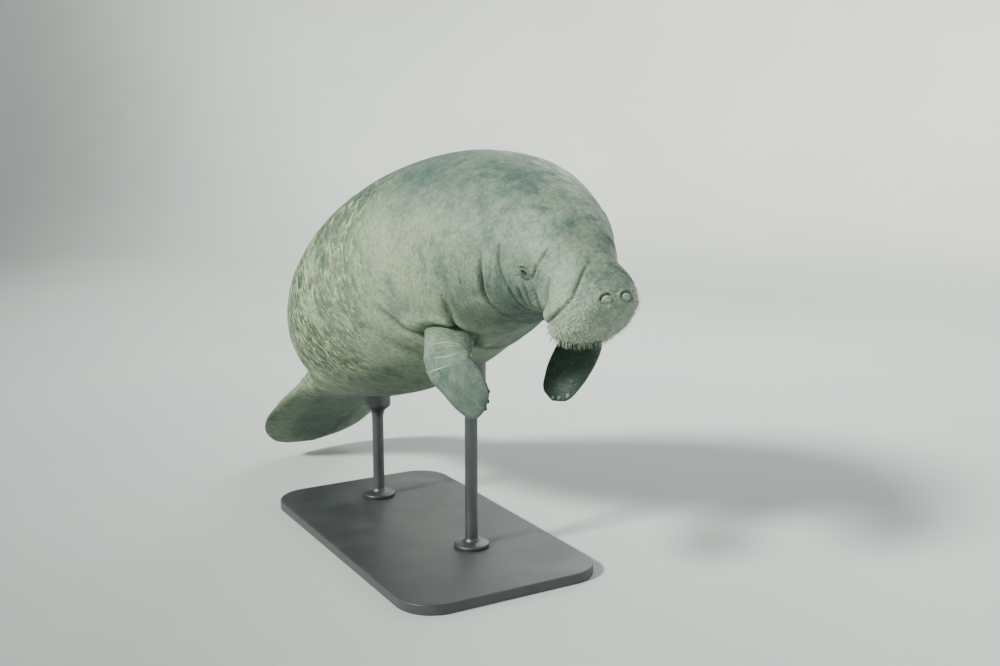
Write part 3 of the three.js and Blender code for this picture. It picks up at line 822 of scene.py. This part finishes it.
def hide_material():
    """Thick grey hide: mottled, wrinkled, with streaks of algae over the rear half, and with painted shade
    and highlights.
    """
    n = Nodes("manatee_hide")
    lie = n.add("ShaderNodeAttribute", attribute_name="lie").outputs["Vector"]
    marks_and_painted_light = n.add("ShaderNodeAttribute", attribute_name="marks_and_painted_light").outputs
    algae, painted_shade, rim = n.add("ShaderNodeSeparateColor", {0: marks_and_painted_light["Color"]}).outputs
    face = marks_and_painted_light["Alpha"]
    station, _, height = n.add("ShaderNodeSeparateXYZ", {0: lie}).outputs

    def drawn_out(share):
        return n.vector("MULTIPLY", lie, (1.0, share, share))

    patches = n.remap(n.noise(lie, 5.5, 4, 0.62, 0.5), 0.38, 0.64)
    n.base = n.mix(patches, colour(0.066, 0.114, 0.106), colour(0.210, 0.278, 0.210))
    # A pale green film over the flank, and paler hide over the front of the face
    film = n.times(n.remap(station, 0.36, 0.80), n.fall(height, 0.06, 0.36), n.fall(station, 3.2, 3.4))
    n.coat((0.388, 0.470, 0.304), film, n.remap(n.noise(lie, 7.5, 4, 0.6, 0.4), 0.30, 0.56), 0.78)
    cheek = n.times(n.fall(station, 0.10, 0.30), n.remap(patches, 0.0, 1.0, 0.45, 0.85))
    n.coat((0.325, 0.392, 0.300), cheek, n.remap(height, 0.02, 0.12, 1.0, 0.35))
    # Mottling, dark strokes, painted shade over the top of the back, and freckles
    n.coat((0.365, 0.425, 0.300), n.remap(n.noise(lie, 30.0, 5, 0.62, 0.3), 0.36, 0.68), 0.38)
    strokes = n.noise(drawn_out(0.75), 105.0, 3, 0.55, 0.6)
    n.coat((0.048, 0.096, 0.080), n.remap(strokes, 0.44, 0.64), 0.32)
    n.coat((0.052, 0.100, 0.102), n.remap(height, 0.15, 0.34, 0.0, 0.50))
    n.coat((0.050, 0.080, 0.062), n.remap(n.noise(lie, 210.0, 2, 0.5), 0.61, 0.69), 0.30)
    # Algae: pale crusts over dark green felt, both in short dashes round the body
    clumps = n.times(algae, n.remap(n.noise(lie, 7.0, 3, 0.55, 0.4), 0.34, 0.52))
    breaks = n.times(algae, n.remap(n.noise(lie, 17.0, 3, 0.5), 0.38, 0.54, 0.05, 1.0))
    felt = n.times(n.remap(n.noise(drawn_out(0.42), 70.0, 4, 0.62, 0.35), 0.465, 0.540), clumps)
    crust = n.times(n.remap(n.noise(drawn_out(0.36), 84.0, 4, 0.60, 0.3), 0.525, 0.585), breaks)
    n.coat((0.075, 0.130, 0.072), clumps, 0.52)
    n.coat((0.034, 0.066, 0.036), felt, 0.88)
    n.coat((0.640, 0.720, 0.410), crust, 0.74)
    # Face: paler lips and lids with a painted highlight on the nostrils, and dark pores; then painted shade
    # round the eyes, in the folds, under the animal, on the tail and over the flippers
    n.coat((0.480, 0.580, 0.400), rim, 0.62)
    pores = n.times(n.fall(n.cells(lie, 118.0, "F1"), 0.10, 0.30), face)
    n.coat((0.045, 0.078, 0.062), pores, 0.45)
    n.coat((0.018, 0.042, 0.034), painted_shade, 0.84)
    add_scars(n, lie)
    # Relief: slack, crossing wrinkles, finer cracks, grain, crusts and pores
    n.layer(n.noise(drawn_out(0.62), 26.0, 3, 0.5, 0.5), 0.0034)
    n.layer(n.remap(n.cells(drawn_out(0.42), 62.0), 0.0, 0.20), 0.0010)
    n.layer(n.remap(n.cells(drawn_out(0.8), 170.0), 0.0, 0.25), 0.00036)
    n.layer(n.noise(lie, 520.0, 3, 0.6), 0.00016)
    n.layer(crust, 0.0012)
    n.layer(n.times(pores, -1.0), 0.0014)
    shine = n.remap(n.noise(lie, 26.0, 4, 0.6), 0.35, 0.65, 0.44, 0.64)
    n.shader.inputs["Specular IOR Level"].default_value = 0.36
    return n.finish(n.math("ADD", shine, n.times(algae, 0.14), True))


def hair_material(name, pale, deep):
    n = Nodes(name)
    n.base = n.mix(n.remap(n.noise(n.place(), 160.0, 2), 0.35, 0.65), colour(*deep), colour(*pale))
    return n.finish(n.remap(n.noise(n.place(), 900.0, 2), 0.3, 0.7, 0.38, 0.58))


def eye_material(name, place, out):
    """A dark brown eye with a black pupil, a faint ring of iris and a wet surface."""
    n = Nodes(name)
    radius = n.vector("LENGTH", n.vector("CROSS_PRODUCT", n.vector("SUBTRACT", n.place(), place), out))
    fibre = n.noise(n.place(), 900.0, 3)
    n.base = n.mix(n.remap(fibre, 0.35, 0.65), colour(0.006, 0.007, 0.007), colour(0.020, 0.020, 0.018))
    n.coat((0.050, 0.056, 0.055), n.remap(radius, 0.0052, 0.0062))
    n.coat((0.004, 0.004, 0.004), n.fall(radius, 0.0016, 0.0022))
    n.shader.inputs["Coat Weight"].default_value = 0.8
    n.shader.inputs["Coat Roughness"].default_value = 0.03
    return n.finish(n.remap(fibre, 0.3, 0.7, 0.05, 0.12))


def nail_material():
    n = Nodes("nail_horn")
    tone = n.noise(n.place(), 120.0, 3)
    n.base = n.mix(n.remap(tone, 0.35, 0.65), colour(0.11, 0.14, 0.11), colour(0.21, 0.25, 0.19))
    n.layer(n.noise(n.vector("MULTIPLY", n.place(), (1.0, 1.0, 0.3)), 700.0, 4), 0.0004)
    return n.finish(n.remap(tone, 0.3, 0.7, 0.32, 0.5))


def stand_material(name, tint, metallic):
    """Painted or brushed metal with fine texture, slight wear and smudges."""
    n = Nodes(name)
    smudge = n.noise(n.place(), 5.0, 5, 0.6, 0.5)
    n.base = colour(*tint)
    n.coat([c * 1.55 + 0.01 for c in tint], n.remap(smudge, 0.3, 0.7), 0.5)
    n.coat((0.30, 0.30, 0.30), n.remap(n.noise(n.place(), 60.0, 6, 0.7), 0.66, 0.74), 0.35)
    n.layer(n.noise(n.place(), 900.0, 2), 0.00025)
    n.shader.inputs["Metallic"].default_value = metallic
    return n.finish(n.remap(smudge, 0.3, 0.7, 0.34, 0.5))


def floor_material():
    n = Nodes("floor_pale")
    tone = n.remap(n.noise(n.place(), 0.7, 4), 0.3, 0.7)
    n.base = n.mix(tone, colour(0.70, 0.72, 0.72), colour(0.74, 0.755, 0.75))
    n.shader.inputs["Specular IOR Level"].default_value = 0.15
    return n.finish(0.75)


# Bristles and hairs
# Points along a bristle, how deep it is set in, how it thins and its patch of the map
TUFT = {"levels": 5, "sunk": 0.0015, "thinning": 0.8, "power": 1.3, "patch": 0.003}


def tufts(name, roots, normals, leans, lengths, thick, patches, material, curl=0.35):
    """Thin tapered bristles of three sides, each bending from its normal to its lean."""
    levels = TUFT["levels"]
    t = np.linspace(0, 1, levels)
    bend = (curl * t)[None, :, None]
    direction = unit(normals[:, None, :] * (1 - bend) + leans[:, None, :] * bend * 1.6)
    step = (lengths / (levels - 1))[:, None, None]
    sunk = (roots - normals * TUFT["sunk"])[:, None, :]
    line = np.concatenate([sunk, sunk + np.cumsum(direction[:, :-1] * step, axis=1)], axis=1)
    helper = np.where(np.abs(normals[:, 2:3]) > 0.8, [[1.0, 0, 0]], [[0, 0, 1.0]])
    u = unit(np.cross(normals, helper))
    v = np.cross(normals, u)
    spin = rng.uniform(0, 2 * math.pi, len(roots))
    width = thick[:, None] * (1 - TUFT["thinning"] * t[None, :-1] ** TUFT["power"])
    rings_of_points = []
    for turn in (spin + angle for angle in turns(3)):
        around = u * np.cos(turn)[:, None] + v * np.sin(turn)[:, None]
        rings_of_points.append(line[:, :-1] + around[:, None, :] * width[..., None])
    body = np.stack(rings_of_points, axis=2).reshape(len(roots), (levels - 1) * 3, 3)
    points = np.concatenate([body, line[:, -1:, :]], axis=1)
    per = points.shape[1]
    pairs = ((0, 1), (1, 2), (2, 0))
    top = (levels - 2) * 3
    pattern = [(i + j, i + k, i + 3 + k, i + 3 + j) for i in range(0, top, 3) for j, k in pairs]
    pattern += [(top + j, top + k, per - 1) for j, k in pairs] + [(2, 1, 0)]
    faces = [tuple(i + k * per for i in face) for k in range(len(roots)) for face in pattern]
    piece = mesh_piece(name, points.reshape(-1, 3), faces)
    piece.data.materials.append(material)
    uv = piece.data.uv_layers.new(name="OFBake")
    corners = np.empty(len(piece.data.loops), np.int32)
    piece.data.loops.foreach_get("vertex_index", corners)
    tuft, within = corners // per, corners % per
    offset = np.stack([within % 3 / 2.0, (within // 3) / (levels - 1)], -1) * TUFT["patch"]
    uv.data.foreach_set("uv", (patches[tuft] + offset).astype(np.float32).ravel())
    smooth_shading(piece)
    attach(piece, "root")


# How many places are tried, and the stations between which they lie
TRIED = {"bristles": (11500, 3, 150), "whiskers": (1500, 8, 95), "hairs": (3000, 70, 2640)}


def spread_over_hide(count, low, high, density):
    """Random places on the hide, kept where the density at (station, angle) allows."""
    station = rng.uniform(low, high, count)
    angle = rng.uniform(0, 360, count)
    keep = rng.uniform(0, 1, count) < density(station, angle)
    station, angle = station[keep], angle[keep]
    points = hide_surface(station, angle)
    normals = base_normal(station, angle)
    patches = np.stack([angle / 360, station / BODY_LENGTH], -1) * 0.99
    return station, angle, points, normals, patches


def face_bristles():
    """Stout pale bristles along the lips, and finer ones over the front of the muzzle."""
    def lip_share(station, angle):
        behind, off = mouth_distance(station, angle)
        return bump(behind + 8, 17) * (behind < 2) * fall(off, 46, 62)

    def density(station, angle):
        crown = from_crown(angle)
        behind, off = mouth_distance(station, angle)
        disk = 0.15 * fall(station, 60, 110) * ramp(crown, 24, 60)
        front = 0.15 * fall(station, 22, 46) * ramp(crown, 50, 100)
        chin = 0.10 * bump(behind - 24, 14) * fall(off, 24, 42) * (station < 140)
        area = np.clip(table_value(SECTIONS, 1, station) / 120, 0, 1)
        share = 0.26 * lip_share(station, angle) + np.where(behind < 2, disk + front, 0) + chin
        return np.clip(share * area, 0, 1)

    station, angle, points, normals, patches = spread_over_hide(*TRIED["bristles"], density)
    behind, _ = mouth_distance(station, angle)
    lip = lip_share(station, angle)
    stub = lip < 0.2
    lengths = 0.0048 + 0.0162 * lip + rng.uniform(-0.0020, 0.0045, len(station))
    lengths *= np.where(behind > 2, 0.7, 1)
    thick = (0.00062 + 0.00050 * lip) * rng.uniform(0.8, 1.2, len(station)) * np.where(stub, 1.7, 1)
    forward = body_axes(station)[0]
    leans = unit(forward * 0.35 + np.array([0, 0, -1.0]) + rng.normal(0, 0.18, (len(station), 3)))
    aims = unit(normals + rng.normal(0, 0.16, normals.shape) + np.array([0, 0, -0.30]))
    fringe = hair_material("bristle_fringe", (0.50, 0.58, 0.42), (0.15, 0.21, 0.15))
    bright = hair_material("bristle_stub", (0.84, 0.86, 0.68), (0.52, 0.58, 0.42))
    made = (points, aims, leans, lengths, thick, patches)
    for name, keep, material in (("lip_bristles", ~stub, fringe), ("face_bristles", stub, bright)):
        tufts(name, *(values[keep] for values in made), material)


def whiskers():
    """Fine dark hairs that stand out from the sides and front of the muzzle."""
    def density(station, angle):
        return 0.5 * span(from_crown(angle), 34, 70, 120, 150) * fall(station, 60, 95)

    station, angle, points, normals, patches = spread_over_hide(*TRIED["whiskers"], density)
    lengths = rng.uniform(0.010, 0.019, len(station))
    thick = rng.uniform(0.00024, 0.00036, len(station))
    aims = unit(normals + rng.normal(0, 0.14, normals.shape))
    leans = unit(normals + body_axes(station)[0] * 0.3 + np.array([0, 0, -0.25]))
    material = hair_material("whisker", (0.20, 0.27, 0.20), (0.07, 0.11, 0.085))
    tufts("face_whiskers", points, aims, leans, lengths, thick, patches, material)


def body_hairs():
    """Single hairs spread thinly over the whole body."""
    def density(station, angle):
        off_eye = from_crown(angle) - from_crown(EYE["angle"])
        bare = bump(station - EYE["station"], 28) * bump(off_eye, 10)
        return np.clip(table_value(SECTIONS, 1, station) / 400, 0.1, 1) * (1 - bare)

    station, angle, points, normals, patches = spread_over_hide(*TRIED["hairs"], density)
    backward = -body_axes(station)[0]
    lengths = rng.uniform(0.009, 0.019, len(station)) * (0.6 + 0.4 * ramp(station, 100, 420))
    lengths *= 1 - 0.5 * ramp(station, 2150, 2350)
    thick = rng.uniform(0.00026, 0.0004, len(station))
    aims = unit(normals + backward * 0.5 + rng.normal(0, 0.22, normals.shape))
    leans = unit(backward + rng.normal(0, 0.25, normals.shape))
    material = hair_material("body_hair", (0.36, 0.42, 0.28), (0.20, 0.25, 0.17))
    tufts("body_hairs", points, aims, leans, lengths, thick, patches, material, 0.5)


# Eyes, nails and stand
def ball(rows, columns, margin):
    """Polar angles and turns over a ball short of its poles, and its faces with two pole points."""
    polar, turn = grid(np.linspace(margin, math.pi - margin, rows), turns(columns))
    return polar, turn, closed_tube_faces(rows, columns, rows * columns, rows * columns + 1)


def eyes():
    for name, angle in zip(("eye_right", "eye_left"), EYE_ANGLES):
        place, ahead, across, out = hide_frame(EYE["station"], angle)
        centre = (place - out * EYE["dip"] - out * EYE["depth"]) * MM
        p, q, faces = ball(40, 48, 0.03)
        plain_radius, cornea = EYE["radius"] * MM, 0.0006
        radius = plain_radius + cornea * np.exp(-(p / 0.42) ** 4)
        sideways = ahead * np.cos(q)[:, None] + across * np.sin(q)[:, None]
        ring = out * np.cos(p)[:, None] + sideways * np.sin(p)[:, None]
        poles = [centre + out * (plain_radius + cornea), centre - out * plain_radius]
        piece = mesh_piece(name + "_ball", np.vstack([centre + ring * radius[:, None], *poles]), faces)
        tidy_normals(piece)
        set_material(piece, eye_material(name + "_wet", centre, out))
        smooth_shading(piece)
        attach(piece, "root")
        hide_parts(name)


def nail_piece(name, side, reach, across):
    """One nail: a flattened, ridged ball of horn set on the flipper's edge."""
    d = np.array([float(reach)])
    high = math.sqrt(1 - across * across) * side["out"]
    place = flipper_point(side, d, np.array([across]), np.array([high]))[0]
    down, chord, thick = (v[0] for v in flipper_directions(side, bend_share(d)))
    half_chord, half_thick = (table_value(FLIPPER, k, d)[0] for k in (1, 2))
    out = unit(chord * across / half_chord + thick * high / half_thick)
    along = unit(down - out * down.dot(out))
    p, q, faces = ball(24, 32, 0.05)
    x, y, z = np.sin(p) * np.cos(q), np.sin(p) * np.sin(q), np.cos(p)
    ridge = 1 + 0.05 * np.cos(y * 16) * (z > 0)
    taper = 1 - 0.28 * np.clip(x, 0, 1)
    shape = [x * NAIL["length"], y * taper * NAIL["width"], z * ridge * NAIL["thick"]]
    points = np.column_stack(shape) @ np.array([along, np.cross(out, along), out])
    poles = np.outer([1, -1], out * NAIL["thick"])
    return mesh_piece(name, (place + np.vstack([points, poles])) * MM, faces)


def nails():
    material = nail_material()
    for side_name, side in SIDES.items():
        for number, (reach, across) in enumerate(zip(NAIL["reach"], NAIL["across"]), start=1):
            piece = nail_piece(f"nail_{side_name}_horn_{number}", side, reach, across)
            tidy_normals(piece)
            set_material(piece, material)
            smooth_shading(piece)
            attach(piece, "root")
            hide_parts(f"nail_{side_name}_{number}")


BASE = {"corner": 0.130, "edge": 0.005, "steps": 16}
ROD = {"radius": 22, "foot": 62, "foot_height": 14, "cup": 52, "cup_height": 46, "neck": 42}


def lathe_piece(name, profile, centre_x, centre_y, columns=72):
    """A closed turned shape from (radius, height) pairs, both in metres, on the axis at its ends."""
    inner = profile[1:-1]
    points = [(centre_x + r * math.cos(a), centre_y + r * math.sin(a), z)
              for r, z in inner for a in turns(columns)]
    points += [(centre_x, centre_y, profile[0][1]), (centre_x, centre_y, profile[-1][1])]
    faces = closed_tube_faces(len(inner), columns, len(points) - 2, len(points) - 1)
    piece = mesh_piece(name, points, faces)
    tidy_normals(piece)
    return piece


def rounded(profile, radius, steps=5):
    """A profile with each inner corner turned into a short arc."""
    result = [profile[0]]
    for before, here, after in zip(profile, profile[1:], profile[2:]):
        b, h, a = (np.array(p, float) for p in (before, here, after))
        reach = min(radius, np.linalg.norm(b - h) / 2.2, np.linalg.norm(a - h) / 2.2)
        start, end = h + unit(b - h) * reach, h + unit(a - h) * reach
        for t in np.linspace(0, 1, steps):
            result.append(tuple((1 - t) ** 2 * start + 2 * t * (1 - t) * h + t * t * end))
    result.append(profile[-1])
    return result


def base_plate():
    """The flat base: a rounded oblong with softened edges."""
    low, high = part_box("stand_base")
    corner, steps = BASE["corner"], BASE["steps"]
    outline = []
    bm = bmesh.new()
    corners = ((high.x, high.y), (low.x, high.y), (low.x, low.y), (high.x, low.y))
    for start, (cx, cy) in zip((0, 90, 180, 270), corners):
        ox, oy = cx - math.copysign(corner, cx), cy - math.copysign(corner, cy)
        for k in range(steps + 1):
            a = math.radians(start + 90 * k / steps)
            outline.append(bm.verts.new((ox + corner * math.cos(a), oy + corner * math.sin(a), low.z)))
    made = bmesh.ops.extrude_face_region(bm, geom=[bm.faces.new(outline)])
    raised = [g for g in made["geom"] if isinstance(g, bmesh.types.BMVert)]
    bmesh.ops.translate(bm, verts=raised, vec=(0, 0, high.z - low.z))
    bmesh.ops.recalc_face_normals(bm, faces=bm.faces)
    rim = [e for e in bm.edges if abs(e.verts[0].co.z - e.verts[1].co.z) < 1e-6]
    bmesh.ops.bevel(bm, geom=rim, offset=BASE["edge"], segments=4, profile=0.5, affect="EDGES")
    return built_piece("stand_plate", bm)


def rod_profile(bottom, belly):
    """Outline of a rod with a round foot and a flared cup that reaches into the belly, in mm."""
    cup_from = belly - ROD["cup_height"] - ROD["neck"]
    inside = belly + 90
    r, foot, foot_top = ROD["radius"], ROD["foot"], bottom + ROD["foot_height"]
    return [(0, bottom), (foot, bottom), (foot, foot_top - 3), (foot - 4, foot_top),
            (r + 8, foot_top + 4), (r, foot_top + 14), (r, cup_from), (r + 6, cup_from + ROD["neck"] * 0.55),
            (ROD["cup"], cup_from + ROD["neck"]), (ROD["cup"], inside), (0, inside)]


def stand(skin):
    plate = base_plate()
    set_material(plate, stand_material("stand_paint", (0.045, 0.048, 0.052), 0.0))
    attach(plate, "root")
    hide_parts("stand_base")
    steel = stand_material("stand_steel", (0.10, 0.105, 0.11), 0.75)
    for node in ("stand_rod_front", "stand_rod_rear"):
        low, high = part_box(node)
        x, y = (low.x + high.x) / 2, (low.y + high.y) / 2
        profile = rounded(rod_profile(low.z / MM, lowest_belly(x) / MM), 9)
        shape = [(radius * MM, height * MM) for radius, height in profile]
        rod = lathe_piece(node.replace("rod", "post"), shape, x, y)
        combine(rod, new_object("cutter", skin.data.copy()), "DIFFERENCE")
        set_material(rod, steel)
        smooth_shading(rod)
        sharpen(rod)
        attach(rod, "root")
        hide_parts(node)


def sharpen(piece):
    """Keeps only the largest closed part of a cut piece, with crisp edges."""
    with edited(piece) as bm:
        left, groups = set(bm.verts), []
        while left:
            stack, group = [left.pop()], []
            while stack:
                v = stack.pop()
                group.append(v)
                joined = {e.other_vert(v) for e in v.link_edges} & left
                left -= joined
                stack += joined
            groups.append(group)
        groups.sort(key=len)
        bmesh.ops.delete(bm, geom=[v for group in groups[:-1] for v in group], context="VERTS")
        for e in bm.edges:
            e.smooth = e.smooth and not bends(e, CRISP_BEND)


def lowest_belly(x):
    """Height in metres of the belly's line over a place along X."""
    stations = np.arange(600, 2200, 2.0)
    line = base_point(stations, np.full(len(stations), 270.0)) * MM
    return float(np.interp(-x, -line[:, 0], line[:, 2]))


# Camera and light
CAMERA_FROM_NOSE = (2.574, -1.836, 0.574)
CAMERA_AZIMUTH = 60.0
CAMERA_DOWN = 10.6
LENS = 42.0
SENSOR = 36.0
LIT_PLACE = (0.2, 0, 0.95)


def turn_to(piece, place, direction):
    piece.location = place
    piece.rotation_euler = Vector(direction).to_track_quat("-Z", "Y").to_euler()


def camera():
    data = bpy.data.cameras.new("camera")
    data.lens, data.sensor_width, data.clip_end = LENS, SENSOR, 100
    view = new_object("camera", data)
    az, down = math.radians(CAMERA_AZIMUTH), math.radians(CAMERA_DOWN)
    look = (-math.sin(az) * math.cos(down), math.cos(az) * math.cos(down), -math.sin(down))
    turn_to(view, Vector(NOSE_TIP * MM) + Vector(CAMERA_FROM_NOSE), look)
    bpy.context.scene.camera = view


def lamp(kind, name, place, size, power, tint):
    """A soft light on the animal's middle: its size is metres across, or degrees for a sun."""
    data = bpy.data.lights.new(name, kind)
    data.energy, data.color = power, tint
    if kind == "SUN":
        data.angle = math.radians(size)
    else:
        data.shape, data.size = "DISK", size
    turn_to(new_object(name, data), place, Vector(LIT_PLACE) - Vector(place))


STAGE = {"flat": 9.0, "bend": 4.5, "top": 8.0, "steps": 18, "columns": 96}
SKY = {"tint": (0.80, 0.93, 0.90, 1), "strength": 0.37}


def studio():
    """A pale floor that turns up into a wall all round, a key from the upper left and soft fill."""
    flat, bend, top = STAGE["flat"], STAGE["bend"], STAGE["top"]
    profile = [(r, 0.0) for r in (0.5, 3.0, 6.0)]
    quarter = np.linspace(0, math.pi / 2, STAGE["steps"])
    profile += [(flat + bend * math.sin(t), bend * (1 - math.cos(t))) for t in quarter]
    profile.append((profile[-1][0], top))
    columns = STAGE["columns"]
    points = [(r * math.cos(a), r * math.sin(a), z) for r, z in profile for a in turns(columns)] + [(0, 0, 0)]
    faces, pairs = open_tube_faces(len(profile), columns)
    faces += [(len(points) - 1, j, k) for j, k in pairs]
    floor = mesh_piece("floor", points, faces)
    set_material(floor, floor_material())
    smooth_shading(floor)
    world = bpy.data.worlds.new("studio")
    world.use_nodes = True
    background = world.node_tree.nodes["Background"]
    background.inputs[0].default_value = SKY["tint"]
    background.inputs[1].default_value = SKY["strength"]
    bpy.context.scene.world = world
    lamp("SUN", "key", (0.6, -4.2, 3.7), size=11, power=5.9, tint=(0.97, 1.0, 0.90))
    lamp("AREA", "rim", (-2.8, 3.4, 3.4), size=2.4, power=70, tint=(0.92, 1.0, 0.96))


camera()
skin, body_part = body_skin()
parts = [body_part]
roots = []
for side_name, side in SIDES.items():
    flipper, part = flipper_skin("flipper_" + side_name + "_skin", side)
    roots.append(Vector(root_place(side) * MM))
    parts.append(part)
    combine(skin, flipper, "UNION")
soften_joins(skin, roots)
paint_marks_and_light(skin, parts)
set_material(skin, hide_material())
smooth_shading(skin)
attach(skin, "root")
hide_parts(*FLESH)
eyes()
nails()
stand(skin)
face_bristles()
whiskers()
body_hairs()
studio()
